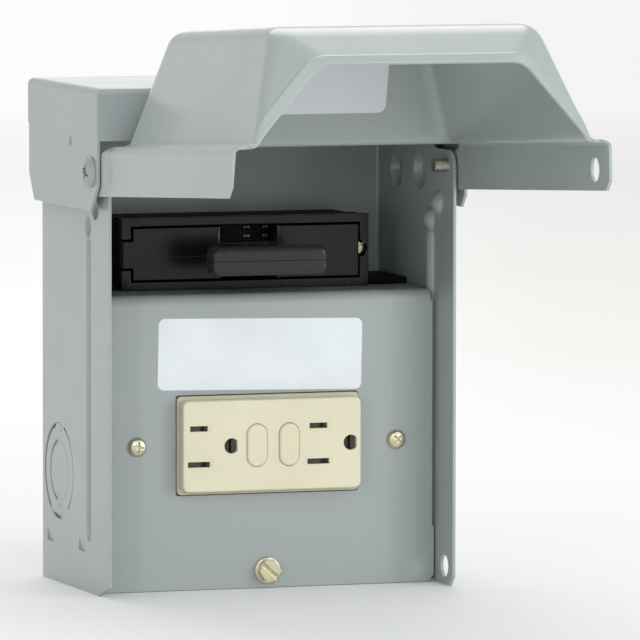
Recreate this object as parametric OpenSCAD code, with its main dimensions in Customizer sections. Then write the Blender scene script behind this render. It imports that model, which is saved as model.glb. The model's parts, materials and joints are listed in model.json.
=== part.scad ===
// Outdoor disconnect enclosure with a ground-fault receptacle and a pull-out switch.
// The origin is the centre of the four wall-mount holes, on the wall plane.
// +Y points into the wall, -Y to the user, +Z up.

/* [Enclosure] */
// Width across the outside of the side panels
box_w = 129.2; // [125:0.1:135]
// Depth from the front edge of the side panels to the back of the back panel
box_d = 80.7; // [80:0.1:84]
// Height of the sheet wrapper under the cap
wrap_h = 178.1; // [176:0.1:182]
// Thickness of the steel sheet
sheet = 1.2; // [1:0.1:1.3]
// Height of the raised pads that stand on the wall
pad_h = 2; // [1.5:0.1:3]
// Width between the wall-mount holes
mount_w = 76.2; // [70:0.1:80]
// Height between the wall-mount holes
mount_h = 127; // [126:0.1:127.4]
// Height of the mount pattern's centre above the bottom
mount_z = 101; // [100.8:0.1:101.4]
// Radius of a wall-mount hole
mount_r = 3.2; // [2.5:0.1:4]

/* [Lid] */
// Distance of the hinge axis behind the front edge
hinge_y = 7; // [6.8:0.1:7.2]
// Height of the hinge axis above the bottom
hinge_z = 149.9; // [149:0.1:151]
// Angle of the open lid above horizontal
lid_tilt = 3.32; // [0:0.01:10]
// Length of the lid from its hinge axis
lid_len = 157; // [154:0.1:158]
// Height of the raised cover over the lid's flat rim
hump_h = 39.7; // [30:0.1:42]
// Radius of the hinge screw's shank
hinge_r = 2.4; // [2:0.1:2.6]
// Radial clearance of the lid on the shank
hinge_gap = 0.05; // [0.02:0.01:0.1]

/* [Dead front and receptacle] */
// Distance of the dead front behind the front edge
front_y = 18.1; // [17:0.1:19]
// Height of the dead front
front_h = 104.9; // [104:0.1:104.9]
// Height of the receptacle's centre
dev_z = 51.6; // [50:0.1:53]
// Distance of the receptacle face from the front edge
face_y = 12; // [11.5:0.1:14]
// Distance between the cover screws
dev_pitch = 96.8; // [96.8:0.1:96.8]
// Travel of the test and reset buttons
press = 1.5; // [1:0.1:2]

/* [Pull-out switch] */
// Half width of the black base
base_hw = 46.4; // [46:0.1:47]
// Distance of the base's front from the front edge
base_y = 42; // [41:0.1:43]
// Height of the base's underside
base_z = 105; // [105:0.1:105]
// Height of the base frame
base_h = 25.8; // [25.8:0.1:26.5]

/* [Hidden] */
hw = box_w / 2;
wall_y = box_d + pad_h;
cap_in = hw + 3;
cap_out = cap_in + sheet;
cap_z = wrap_h + sheet + 0.05;
e = 0.01;
split_z = 116.7;
hole_lid = 143.1;
jaw_x = [-34, -14, 14, 34];
outlet_x = [-27.3, 17.2];

module place() { translate([0, -wall_y, -mount_z]) children(); }
module both() { children(); mirror([1, 0, 0]) children(); }
// extrude a (Y, Z) outline along X from x0 to x1
module slab_x(x0, x1) { translate([x0, 0, 0]) rotate([90, 0, 90]) linear_extrude(x1 - x0) children(); }
module rod_x(x0, x1, r, y, z) { translate([x0, y, z]) rotate([0, 90, 0]) cylinder(r = r, h = x1 - x0, $fn = 48); }
module rod_y(y0, y1, r, x, z) { translate([x, y0, z]) rotate([-90, 0, 0]) cylinder(r = r, h = y1 - y0, $fn = 48); }
module rod_z(z0, z1, r, x, y) { translate([x, y, z0]) cylinder(r = r, h = z1 - z0, $fn = 48); }
module box(x0, x1, y0, y1, z0, z1) { translate([x0, y0, z0]) cube([x1 - x0, y1 - y0, z1 - z0]); }
function arc(cx, cy, r, a0, a1, n = 8) = [for (i = [0 : n]) let (a = a0 + (a1 - a0) * i / n) [cx + r * cos(a), cy + r * sin(a)]];
module rrect(w, h, r) {
    square([w - 2 * r, h], center = true);
    square([w, h - 2 * r], center = true);
    for (sx = [-1, 1], sz = [-1, 1]) translate([sx * (w / 2 - r), sz * (h / 2 - r)]) circle(r = r, $fn = 32);
}
// plate with rounded corners standing across Y, centred on x, z
module rplate_y(y0, y1, w, h, r, x, z) { translate([x, y1, z]) rotate([90, 0, 0]) linear_extrude(y1 - y0) rrect(w, h, r); }
// truncated cone along +X from x, wide end first
module cone_x(x, h, r1, r2, y, z) { translate([x, y, z]) rotate([0, 90, 0]) cylinder(r1 = r1, r2 = r2, h = h, $fn = 48); }

// ---------- sheet-metal wrapper: two sides and the back ----------
bead_y = 23.3; bead_z0 = 20.8; bead_z1 = 123.7;
dimples = [[15.5, 136], [24, 129.6]];
pads = [[35.8, 146.1], [60.3, 145.5]];
lances = [[69.6, 15], [31.6, 15.2]];
ko_y = 59.3; ko_z = 40;

module u_outline(t) {
    translate([-hw + t, 0]) square([2 * (hw - t), box_d - 2.4]);
    translate([-hw + 2.4, 0]) square([2 * (hw - 2.4), box_d - t]);
    for (s = [-1, 1]) translate([s * (hw - 2.4), box_d - 2.4]) circle(r = 2.4 - t, $fn = 48);
}
module groove(r) {
    rod_z(bead_z0, bead_z1, r, hw + 1.25, bead_y);
    for (z = [bead_z0, bead_z1]) translate([hw + 1.25, bead_y, z]) sphere(r = r, $fn = 48);
    for (d = dimples) translate([hw + 1.25, d[0], d[1]]) sphere(r = r + 0.8, $fn = 48);
}
module enclosure_wrap() color([0.66, 0.69, 0.69]) place() difference() {
    union() {
        difference() {
            linear_extrude(wrap_h) u_outline(0);
            translate([0, 0, -1]) linear_extrude(wrap_h + 2) difference() {
                u_outline(sheet);
                translate([-hw, -3]) square([box_w, 2]);
            }
            box(-hw + sheet, hw - sheet, -1, 1, -1, wrap_h + 1);
        }
        both() intersection() { groove(3 + sheet); box(hw - 4, hw - sheet / 2, 0, 60, 0, 160); }
        both() for (p = pads) cone_x(hw - e, cap_in - hw + e, 7.2, 5.6, p[0], p[1]);
        for (x = [-1, 1], z = [-1, 1]) translate([x * mount_w / 2, box_d - e, mount_z + z * mount_h / 2])
            rotate([-90, 0, 0]) cylinder(r1 = 9, r2 = 7, h = pad_h + e, $fn = 64);
    }
    // front top corner of each side, clear of the lid's swing
    slab_x(-hw - 1, hw + 1) polygon(concat([[-1, hinge_z - 0.6], [0, hinge_z - 0.6]], arc(6, hinge_z - 0.6, 6, 180, 90),
        [[20, hinge_z + 5.4], [23, hinge_z + 8.4], [23, wrap_h + 1], [-1, wrap_h + 1]]));
    // front bottom corners: a long shallow one on the left, a small one on the right
    slab_x(-hw - 1, 0) polygon([[-1, -1], [12, -1], [12, 0], [0, 4.2], [-1, 4.2]]);
    slab_x(0, hw + 1) polygon([[-1, -1], [3.6, -1], [3.6, 0], [0, 3.6], [-1, 3.6]]);
    both() {
        groove(3);
        for (p = pads) cone_x(hw - sheet - e, cap_in - hw, 6.4, 4.8, p[0], p[1]);
        rod_x(hw - 4, hw + 1, hinge_r + hinge_gap, hinge_y, hinge_z);
        rod_x(hw - 4, hw + 1, 17.25, ko_y, ko_z);
        for (l = lances) translate([0, l[0] + 3.6, l[1]]) rotate([90, 0, 0]) linear_extrude(7.2) polygon([[hw + 0.1, -1.1], [hw - 0.9, -1.1], [hw + 0.1, 4.6]]);
    }
    // padlock hole, on the right side only
    rod_x(hw - 4, hw + 1, 3.9, 8.6, 6.8);
    for (x = [-1, 1], z = [-1, 1]) translate([x * mount_w / 2, 0, mount_z + z * mount_h / 2]) {
        rod_y(box_d - 3, wall_y + 1, mount_r, 0, 0);
        translate([0, box_d - sheet - e, 0]) rotate([-90, 0, 0]) cylinder(r1 = 8.2, r2 = 6.2, h = pad_h, $fn = 64);
    }
    rod_y(box_d - 3, box_d + 1, 14.05, 0, 34);
}

// one concentric knockout of radius r1 with a smaller one inside, drawn flat, thickness along +Z
module knockout(r1, r2) {
    difference() {
        union() {
            cylinder(r = r1 - 0.3, h = sheet, $fn = 96);
            for (a = [90, 270]) rotate(a) intersection() { translate([r1 - 2, -1.2, 0.2]) cube([3, 2.4, 0.8]); cylinder(r = r1 - 0.05, h = sheet, $fn = 96); }
        }
        translate([0, 0, -1]) cylinder(r = r2, h = 4, $fn = 72);
        rotate(248) translate([(r1 + r2) / 2, 0, sheet + 0.7]) sphere(r = 1.6, $fn = 32);
    }
    cylinder(r = r2 - 0.3, h = sheet, $fn = 72);
    for (a = [75, 255]) rotate(a) intersection() { translate([r2 - 2, -1, 0.2]) cube([3, 2, 0.8]); cylinder(r = r2 - 0.05, h = sheet, $fn = 72); }
}
module side_knockouts() color([0.65, 0.68, 0.68]) place() {
    both() translate([hw - sheet - 0.25, ko_y, ko_z]) rotate([90, 0, 90]) knockout(17.25, 11.1);
    translate([0, box_d - sheet - 0.25, 34]) rotate([-90, 0, 0]) knockout(14.05, 8.7);
}
module bottom_knockouts() color([0.65, 0.68, 0.68]) place()
    for (x = [-28, 28]) translate([x, 50, sheet + 0.25]) rotate([180, 0, 0]) knockout(17.25, 11.1);

module bottom_plate() color([0.64, 0.67, 0.67]) place() difference() {
    union() {
        box(-hw + sheet + 0.05, hw - sheet - 0.05, front_y + 1.5, box_d - sheet - 0.05, 0, sheet);
        both() box(hw - 2 * sheet - 0.05, hw - sheet - 0.05, front_y + 9.5, box_d - sheet - 3, 0, 17.5);
        box(-hw + 6, hw - 6, box_d - 2 * sheet - 0.05, box_d - sheet - 0.05, 0, 17.5);
        box(-15, 15, front_y + 1.5, front_y + 1.5 + sheet, 0, 15);
    }
    rod_y(front_y, front_y + 4, 3, 0, 6.4);
    for (x = [-28, 28]) rod_z(-1, 3, 17.25, x, 50);
    both() box(hw - 5, hw, box_d - 5, box_d, -1, 3);
}

// ---------- cap over the hinge ----------
module cap_profile(d) {
    // (Y, Z) outline of the cap, pulled in by d all round except at the bottom
    polygon(concat([[d, 100]], arc(2.2, cap_z - 2.2, 2.2 - d, 180, 90, 6), arc(wall_y - 2.3, cap_z - 2.2, 2.2 - d, 90, 0, 6), [[wall_y - 0.1 - d, 100]]));
}
module cap_width(d) {
    // (X, Z) outline
    polygon(concat([[cap_out - d, 100]], arc(cap_out - 2.2, cap_z - 2.2, 2.2 - d, 0, 90, 6), arc(-cap_out + 2.2, cap_z - 2.2, 2.2 - d, 90, 180, 6), [[-cap_out + d, 100]]));
}
module ear_cut(front_corner) polygon(concat([[-1, 99], [90, 99], [90, 163.2], [wall_y - 0.1 - sheet, 163.2], [wall_y - 0.1 - sheet, 145.6],
    [75.2, 135.9], [50, 135.9]], front_corner));
module top_cap() color([0.72, 0.74, 0.74]) place() difference() {
    intersection() {
        slab_x(-cap_out, cap_out) cap_profile(0);
        translate([0, wall_y, 0]) rotate([90, 0, 0]) linear_extrude(wall_y) cap_width(0);
    }
    intersection() {
        slab_x(-cap_in, cap_in) cap_profile(sheet);
        translate([0, wall_y - 1, 0]) rotate([90, 0, 0]) linear_extrude(wall_y - 2) cap_width(sheet);
    }
    box(-cap_in, cap_in, -1, 3, 99, 160.9);
    box(-cap_in, cap_in, wall_y - 3, wall_y + 1, 99, 163.2);
    // ear outlines: lower corners cut off, the front one less on the right ear
    slab_x(-80, 0) ear_cut([[8, 135.9], [0, 145.2], [-1, 145.2]]);
    slab_x(-e, 80) ear_cut([[4.2, 135], [0, 139.4], [-1, 139.4]]);
    both() {
        rod_x(hw, cap_out + 1, hinge_r + hinge_gap, hinge_y, hinge_z);
        translate([cap_out + 1, 31.4, 159.4]) sphere(r = 2.1, $fn = 32);
        // the rear flange is notched round the upper wall pads
        rod_y(wall_y - 3, wall_y + 1, 9.8, mount_w / 2, mount_z + mount_h / 2);
        box(mount_w / 2 - 9.8, mount_w / 2 + 9.8, wall_y - 3, wall_y + 1, 160, mount_z + mount_h / 2);
    }
}

// ---------- hinge screws: thread rings as one turned outline ----------
module hinge_screws() color([0.62, 0.64, 0.63]) place() both() translate([cap_out, hinge_y, hinge_z]) rotate([0, -90, 0]) difference() {
    union() {
        rotate_extrude($fn = 48) polygon(concat([[0, -2.6], [2.6, -2.5], [4.3, -2], [5.2, -1.1], [5.45, -0.4], [5.45, 0], [hinge_r, 0], [hinge_r, 4.4]],
            [for (i = [0 : 7]) each [[hinge_r - 0.45, 4.65 + 0.85 * i], [hinge_r, 5.05 + 0.85 * i]]], [[1.7, 11.4], [0, 11.4]]));
    }
    translate([-0.6, -6, -2.7]) cube([1.2, 12, 1.3]);
    translate([-3, -0.6, -2.7]) cube([6, 1.2, 1.3]);
}

// ---------- lid ----------
rim_n = 8.7;
hw_hump = 60;
lid_out = 66.3;
// half width of the raised cover at height n, and its rear wall
function side_at(n) = hw_hump - 0.32 * (n - rim_n);
function rear_at(n) = 13 + 0.302 * (n - rim_n);
top_n = rim_n + hump_h;
// sphere centres [x, l, n, r]; t is taken off every radius
function hump_c() = [
    [side_at(5) - 7.35, rear_at(5) + 7.3, 5, 7],
    [side_at(top_n - 7) - 7.35, rear_at(top_n - 7) + 7.3, top_n - 7, 7],
    [side_at(top_n - 7) - 7.35, 134.8, top_n - 7, 7],
    [side_at(5) - 3.15, 151, 5, 3],
    [49.6, 158, 5, 2.4],
    [29, 158, top_n - 20.2, 5]];
module hump(t) {
    hull() for (c = hump_c(), s = [-1, 1]) translate([s * c[0], -c[1], c[2]]) sphere(r = c[3] - t, $fn = 32);
}
module lid_place() place() translate([0, hinge_y, hinge_z]) rotate([-lid_tilt, 0, 0]) children();
// free end of a side flange: full length on the right, cut back and slanted on the left
flange_end_right = [[-lid_len, rim_n - 3.4], [-lid_len, -5.2], [-lid_len + 3.6, -8.75]];
flange_end_left = [[-150.6, rim_n - 2.2], [-150.2, 4], [-147.4, -5.4], [-144.6, -8.2], [-143.4, -8.75]];
module lid_side(flange_end) {
    difference() {
        union() {
            // flange and flat rim beside the raised cover
            slab_x(lid_out - sheet, lid_out) polygon(concat([[-7.6, rim_n - 1.2], [-12, rim_n], [-151.9, rim_n]], flange_end, [[-7.6, -8.75]]));
            box(hw_hump - 3, lid_out - sheet / 2, -151.9, -12, rim_n - sheet, rim_n);
            // set-out hinge tongue between the side panel and the ear
            slab_x(lid_out - 0.2, lid_out + 1) polygon(concat([[-10.5, -8.75], [-0.5, -8.75]], arc(0, -1.5, 7.25, -90, 100, 12), [[-7.2, 5.8], [-10.5, 8.2]]));
        }
        rod_x(hw, cap_out, hinge_r + hinge_gap, 0, 0);
    }
}
module lid() color([0.72, 0.76, 0.75]) lid_place() {
    difference() {
        union() {
            lid_side(flange_end_right);
            mirror([1, 0, 0]) lid_side(flange_end_left);
        }
        // padlock hole, on the right side only
        rod_x(hw, cap_out, 4.1, -hole_lid, -1.6);
    }
    difference() {
        union() {
            box(-lid_out + 0.4, lid_out - 0.4, -30, 8, rim_n - sheet, rim_n);
            intersection() { hump(0); box(-80, 80, -154.5, 0, rim_n - sheet, 80); }
        }
        intersection() { hump(sheet); box(-80, 80, -170, 0, 0, 80); }
        // rounded rear corners of the plate
        both() linear_extrude(20) polygon(concat([[59, 20], [80, 20], [80, -16]], arc(59, -16, 7.4, 0, 90, 12)));
    }
}
module lid_label() color([0.9, 0.93, 0.94]) lid_place()
    translate([0, -rear_at(28.4) - sheet / cos(16.8) - 0.01, 28.4]) rotate([16.8, 0, 0]) box(-36, 34.5, -0.12, 0, -9.9, 9.9);

// ---------- dead front ----------
module dead_front() color([0.62, 0.66, 0.67]) place() difference() {
    union() {
        box(-62.2, 62.2, front_y, front_y + sheet, 0.2, front_h - 4);
        both() box(60, 62.9, front_y, front_y + sheet, 0.2, 20);
        slab_x(-61.5, 61.5) union() {
            intersection() {
                difference() { translate([front_y + 4, front_h - 4]) circle(r = 4, $fn = 48); translate([front_y + 4, front_h - 4]) circle(r = 4 - sheet, $fn = 48); }
                translate([front_y - 1, front_h - 4]) square([5, 5]);
            }
            translate([front_y + 4 - e, front_h - sheet]) square([24 + e, sheet]);
        }
    }
    both() translate([62.9, 0, 0.2]) rotate([0, 45, 0]) box(-1.6, 1.6, front_y - 1, front_y + 3, -1.6, 1.6);
    rplate_y(front_y - 1, front_y + 3, 68, 35.6, 1, 0, dev_z);
    for (s = [-1, 1]) rod_y(front_y - 1, front_y + 3, 2, s * dev_pitch / 2, dev_z);
    rod_y(front_y - 1, front_y + 3, 2.8, 0, 6.4);
}
module dead_front_label() color([0.93, 0.95, 0.96]) place()
    translate([-2.6, front_y - 0.12, 83.4]) rotate([0, 1.1, 0]) rplate_y(0, 0.12, 76, 25.4, 2.4, 0, 0);
module dead_front_screw() color([0.78, 0.72, 0.52]) place() translate([0, front_y, 6.4]) rotate([90, 0, 0]) difference() {
    union() {
        rotate_extrude($fn = 48) polygon([[0, -13], [1.6, -13], [2.3, -12], [2.3, 0], [4.85, 0], [4.85, 0.9], [4.4, 1.3], [0, 1.3]]);
        translate([0, 0, 1.2]) cylinder(r = 4.1, h = 3, $fn = 6);
    }
    rotate(-42) translate([-6, -0.65, 2.6]) cube([12, 1.3, 3]);
}
module clip_nut() color([0.55, 0.55, 0.52]) place() difference() {
    union() {
        box(-6.5, 6.5, front_y + 2.75, front_y + 3.75, 1.4, 15.8);
        box(-4, 4, front_y + 3.7, front_y + 6.2, 2.4, 10.4);
        box(-6.5, 6.5, front_y + 0.2 + sheet, front_y + 3.75, 15.05, 15.8);
    }
    rod_y(front_y, front_y + 8, 2.35, 0, 6.4);
}
module cover_screws() color([0.80, 0.73, 0.50]) place() for (s = [-1, 1]) translate([s * dev_pitch / 2, front_y, dev_z]) rotate([90, 0, 0]) difference() {
    rotate_extrude($fn = 48) polygon([[0, -9], [1.2, -9], [1.65, -8.2], [1.65, 0], [3.45, 0], [3.4, 0.7], [2.7, 1.6], [1.4, 2.05], [0, 2.1]]);
    rotate(20 + 25 * s) for (a = [0, 90]) rotate(a) translate([-1.9, -0.35, 0.9]) cube([3.8, 0.7, 3]);
}

// ---------- receptacle ----------
module stadium(w, h) { square([w, h - w], center = true); for (s = [-1, 1]) translate([0, s * (h - w) / 2]) circle(d = w, $fn = 48); }
module d_hole(r) { difference() { circle(r = r, $fn = 48); translate([r * 0.78, -r]) square([r, 2 * r]); } }
module gfci_face() color([0.89, 0.85, 0.76]) place() difference() {
    union() {
        rplate_y(face_y, front_y + 2.4, 66.4, 32.4, 1.2, 0, dev_z);
        rplate_y(front_y - 1.1, front_y + 2.4, 67.5, 35, 1.2, 0, dev_z);
        // rails round the buttons
        for (x = [-5.8, 6.2]) translate([x, front_y + 3.4, dev_z]) rotate([90, 0, 0]) linear_extrude(6) stadium(9.4, 17.4);
    }
    difference() {
        rplate_y(face_y + 1.8, front_y + 6, 65, 29.2, 0.6, 0, dev_z);
        for (x = [-5.8, 6.2]) translate([x, front_y + 3.4, dev_z]) rotate([90, 0, 0]) linear_extrude(6) stadium(9.4, 17.4);
    }
    for (x = [-5.8, 6.2]) translate([x, front_y + 6, dev_z]) rotate([90, 0, 0]) linear_extrude(14) stadium(7.8, 15.6);
    for (x = outlet_x) {
        box(x - 3.35, x + 3.35, face_y - 1, face_y + 2.5, dev_z + 5.35, dev_z + 7.35);
        box(x - 4.15, x + 4.15, face_y - 1, face_y + 2.5, dev_z - 7.35, dev_z - 5.35);
        translate([x + 12.1, face_y + 2.5, dev_z]) rotate([90, 0, 0]) linear_extrude(4) d_hole(2.75);
    }
}
module gfci_body() color([0.25, 0.25, 0.26]) place() difference() {
    rplate_y(front_y + 2.4, 46, 67.4, 41, 2, 0, dev_z);
    rplate_y(front_y + 2, 44.4, 65, 37.8, 1, 0, dev_z);
    // terminal pockets on the long sides
    for (x = [-22, 22], s = [-1, 1]) box(x - 6, x + 6, 31.8, 40.2, dev_z + s * 20.6 - 1.9, dev_z + s * 20.6 + 1.9);
}
module gfci_strap() color([0.74, 0.72, 0.66]) place() difference() {
    union() {
        both() {
            rplate_y(front_y + sheet + 0.02, front_y + sheet + 1.22, 20, 22, 3, 43.6, dev_z);
            box(33.75, 34.95, front_y + sheet + 0.02, 47.2, dev_z - 9, dev_z + 9);
        }
        box(-34.95, 34.95, 46.02, 47.22, dev_z - 9, dev_z + 9);
    }
    both() {
        box(20, 33.75, 15, 46.02, dev_z - 15, dev_z + 15);
        rod_y(front_y, front_y + 4, 1.7, dev_pitch / 2, dev_z);
        for (s = [-1, 1]) rod_y(front_y, front_y + 4, 1.9, 41.65, dev_z + s * 7);
    }
}
module gfci_board() color([0.18, 0.38, 0.24]) place() difference() {
    box(-31.5, 31.5, 32.6, 34.2, dev_z - 18.4, dev_z + 18.4);
    rod_y(32, 35, 4.6, 3, dev_z + 0);
    for (x = [-22, 22], s = [-1, 1]) rod_y(32, 35, 1, x, dev_z + s * 15);
}
// a two-leaf spring clip behind a slot at height z, on a bus along X
module clip_leaves(x, z, w) {
    for (s = [-1, 1]) box(x - w, x + w, face_y + 3, 29.4, z + s * 1.35 - 0.35, z + s * 1.35 + 0.35);
    box(x - w, x + w, 29, 30, z - 1.7, z + 1.7);
}
module gfci_hot_contacts() color([0.78, 0.62, 0.30]) place() {
    for (x = outlet_x) clip_leaves(x, dev_z + 6.35, 3.2);
    difference() {
        box(outlet_x[0], outlet_x[1], 29, 30, dev_z + 8, dev_z + 14);
        rod_y(28, 31, 1.2, 0, dev_z + 11);
    }
    for (x = outlet_x) box(x - 2, x + 2, 29, 30, dev_z + 6, dev_z + 10);
}
module gfci_neutral_contacts() color([0.80, 0.80, 0.78]) place() {
    for (x = outlet_x) clip_leaves(x, dev_z - 6.35, 3.9);
    difference() {
        box(outlet_x[0], outlet_x[1], 29, 30, dev_z - 14, dev_z - 8);
        rod_y(28, 31, 1.2, 0, dev_z - 11);
    }
    for (x = outlet_x) box(x - 2, x + 2, 29, 30, dev_z - 10, dev_z - 6);
}
module gfci_ground_contacts() color([0.76, 0.66, 0.36]) place() {
    for (x = outlet_x) difference() {
        rod_y(face_y + 3.4, 28, 3.1, x + 12.1, dev_z);
        rod_y(face_y + 3, 29, 2.45, x + 12.1, dev_z);
        box(x + 11.7, x + 12.5, face_y + 3, 29, dev_z + 1, dev_z + 4);
    }
    for (x = outlet_x) difference() { rod_y(27.9, 28.7, 3.1, x + 12.1, dev_z); rod_y(27, 29, 1, x + 12.1, dev_z); }
}
module gfci_terminal_screws() color([0.76, 0.62, 0.34]) place()
    for (x = [-22, 22], s = [-1, 1]) translate([x, 36, dev_z + s * 18.75]) rotate([s > 0 ? 0 : 180, 0, 0]) difference() {
        rotate_extrude($fn = 40) polygon([[0, 0], [3.6, 0], [3.6, 1], [3, 1.7], [0, 1.8]]);
        translate([-4, -0.5, 1]) cube([8, 1, 2]);
    }
module gfci_coil() color([0.55, 0.30, 0.18]) place() {
    difference() { rod_x(-13, -1, 4.4, 39.2, dev_z - 8); rod_x(-14, 0, 1.6, 39.2, dev_z - 8); }
    for (x = [-14.2, -1]) difference() { box(x, x + 1.2, 34.2, 44, dev_z - 13, dev_z - 3); rod_x(x - 1, x + 3, 1.6, 39.2, dev_z - 8); }
    rod_x(-11, 5, 1.5, 39.2, dev_z - 8);
}
module gfci_sensor() color([0.16, 0.16, 0.18]) place() difference() {
    rod_y(34.2, 43.4, 9.4, 17, dev_z + 4);
    rod_y(34, 44, 4, 17, dev_z + 4);
}
module button(x, c) {
    translate([x, front_y, dev_z]) rotate([90, 0, 0]) {
        difference() {
            translate([0, 0, -1.4]) linear_extrude(front_y - face_y + 0.9 + 1.4) stadium(7.4, 15.2);
            for (s = [-1, 1]) translate([0, s * 20.2, 18.6]) rotate([0, 90, 0]) cylinder(r = 20, h = 10, center = true, $fn = 96);
        }
        translate([0, 0, -6]) cylinder(r = 1.8, h = 4.8, $fn = 32);
    }
}
module test_button() color([0.90, 0.86, 0.77]) place() button(-5.8);
module reset_button() color([0.90, 0.86, 0.77]) place() button(6.2);

// ---------- pull-out switch ----------
cav_y = 72.8;
module pullout_base() color([0.13, 0.13, 0.14]) place() difference() {
  union() { difference() { union() {
        box(-base_hw, base_hw, base_y, 46, base_z, base_z + base_h);
        box(-base_hw + 0.8, base_hw - 0.8, 45, 79.5, base_z, base_z + base_h - 0.9);
        box(-base_hw + 0.8, base_hw - 0.8, 52, 53.6, base_z, base_z + base_h - 0.2);
        // side shelves and terminal block
        both() box(base_hw - 1, hw - sheet - 0.4, 48, 78, base_z, base_z + 2.2);
        box(-base_hw, base_hw, cav_y, 79.5, 74, base_z + 1);
        for (x = [-24, 0, 24]) box(x - 0.9, x + 0.9, 57, 79, 74, base_z + 1);
    }
    // recess for the handle, with corner pieces at its left end
    box(-43, 43, base_y - 1, cav_y, 107.9, 127.8);
    box(-base_hw - 1, -42, base_y - 1, 49, 112.2, 123.2);
    }
    // boss round the upper base screw
    box(39.9, 43.5, base_y + 4.9, cav_y + 1, 114.9, 121.7);
  }
    // slots for the jaw straps
    for (x = jaw_x) box(x - 4.6, x + 4.6, cav_y - 1.3, cav_y + e, 90, 109);
    // seats and holes of the two base screws
    rod_y(base_y - 1, base_y + 4.9, 3.1, 43, 118.3);
    rod_y(base_y, 80, 1.55, 43, 118.3);
    rod_y(cav_y - 1, 80, 1.55, -43, 99);
    // moulding rings on the front frame
    for (p = [[-40, 129.4], [13.2, 129.4], [-39.7, 106.4], [-12.7, 106.4], [12.4, 106.4], [38.9, 106.4]])
        difference() { rod_y(base_y - 1, base_y + 0.25, 1.05, p[0], p[1]); rod_y(base_y - 1, base_y + 1, 0.8, p[0], p[1]); }
}
module slot_screw(hr, hh, r, len) {
    rotate([90, 0, 0]) difference() {
        rotate_extrude($fn = 40) polygon([[0, -len], [r - 0.3, -len], [r, -len + 0.6], [r, 0], [hr, 0], [hr, hh * 0.5], [hr * 0.72, hh], [0, hh]]);
        rotate(35) translate([-hr - 1, -0.4, hh * 0.4]) cube([2 * hr + 2, 0.8, hh]);
    }
}
module base_screws() color([0.75, 0.62, 0.30]) place() {
    translate([43, base_y + 4.9, 118.3]) slot_screw(2.95, 1.7, 1.5, 32.5);
    translate([-43, cav_y, 99]) slot_screw(3, 1.6, 1.5, 6.6);
}
module switch_jaws() color([0.72, 0.50, 0.30]) place() for (x = jaw_x) {
    box(x - 4.4, x + 4.4, cav_y - 1.2, cav_y, 76, 124);
    for (s = [-1, 1]) box(x + s * 1.4 - 0.55, x + s * 1.4 + 0.55, 60.5, cav_y - 1, 111, 124);
}
module wire_lugs() color([0.78, 0.79, 0.80]) place() for (x = jaw_x) difference() {
    box(x - 5.5, x + 5.5, 57.4, cav_y - 1.2, 80, 94);
    rod_z(79, 95, 3.6, x, 65.2);
    rod_y(56, 66, 3, x, 87);
}
module lug_screws() color([0.70, 0.70, 0.68]) place() for (x = jaw_x) translate([x, 55, 87]) rotate([-90, 0, 0]) difference() {
    cylinder(r = 2.95, h = 7, $fn = 40);
    translate([-4, -0.5, -1]) cube([8, 1, 2.4]);
}
// the handle's outline without its split
module handle_body() difference() {
    union() {
        box(-42.4, 42.4, base_y - 0.5, 58, 108.5, 127.2);
        box(-46.2, -42, base_y - 0.5, 48.4, 112.8, 122.6);
        // grip bar with rounded ends
        translate([0, 18, 111.4]) linear_extrude(10.5) rrect(43.2, 9, 3);
        // neck, higher at the head than at the grip
        slab_x(-11.5, 11.5) polygon(concat([[42.5, 109], [36, 109.6], [30, 111.4], [20, 112], [20, 121.3], [26, 121.6]], [[32, 123], [37, 125.2], [42.5, 127.2]]));
    }
    // root of the neck, scooped on both sides
    both() rod_z(100, 135, 4.2, 15.6, 33.8);
    // pockets for the blades
    both() box(12, 36, 50.8, 60, 110.4, 124.6);
    for (s = [-1, 1]) rod_z(100, 130, 1.5, s * 37.8, 53);
    // clear of the base screw and its boss
    box(39.5, 60, base_y + 2.9, 60, 114.5, 122.1);
}
module handle_upper() color([0.17, 0.17, 0.18]) place() {
    intersection() { handle_body(); box(-60, 60, 0, 70, split_z, 140); }
    for (x = [-6.6, -3.4, 3, 6.2]) for (d = [-0.55, 0.55]) translate([x + d, 38.4, 125.6]) sphere(r = 0.35, $fn = 16);
}
module handle_lower() color([0.15, 0.15, 0.16]) place() intersection() { handle_body(); box(-60, 60, 0, 70, 100, split_z); }
module handle_rivets() color([0.70, 0.70, 0.68]) place() for (s = [-1, 1]) translate([s * 37.8, 53, 0]) {
    translate([0, 0, 108.6]) cylinder(r = 1.45, h = 18.5, $fn = 32);
}
module handle_blades() color([0.80, 0.55, 0.34]) place() both() {
    for (x = [14, 34]) box(x - 0.8, x + 0.8, 52.2, 70, 111, 124);
    box(13.2, 34.8, 51, 52.3, 111, 124);
}

// ---------- grounding ----------
module ground_lug() color([0.76, 0.77, 0.78]) place() difference() {
    box(49.5, 59.5, 67, box_d - sheet, 84, 98);
    rod_z(83, 99, 3.4, 54.5, 73.4);
    rod_y(66, 74, 3, 54.5, 91);
}
module ground_screw() color([0.25, 0.55, 0.32]) place() translate([54.5, 64.8, 91]) rotate([-90, 0, 0]) difference() {
    union() { cylinder(r = 2.95, h = 6, $fn = 40); cylinder(r = 4.2, h = 2, $fn = 6); }
    translate([-5, -0.5, -1]) cube([10, 1, 2]);
}

enclosure_wrap();
bottom_plate();
top_cap();
side_knockouts();
bottom_knockouts();
hinge_screws();
lid();
lid_label();
dead_front();
dead_front_label();
dead_front_screw();
clip_nut();
cover_screws();
gfci_face();
gfci_body();
gfci_strap();
gfci_board();
gfci_hot_contacts();
gfci_neutral_contacts();
gfci_ground_contacts();
gfci_terminal_screws();
gfci_coil();
gfci_sensor();
test_button();
reset_button();
pullout_base();
base_screws();
switch_jaws();
wire_lugs();
lug_screws();
handle_upper();
handle_lower();
handle_rivets();
handle_blades();
ground_lug();
ground_screw();
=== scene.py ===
import json
import math

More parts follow.
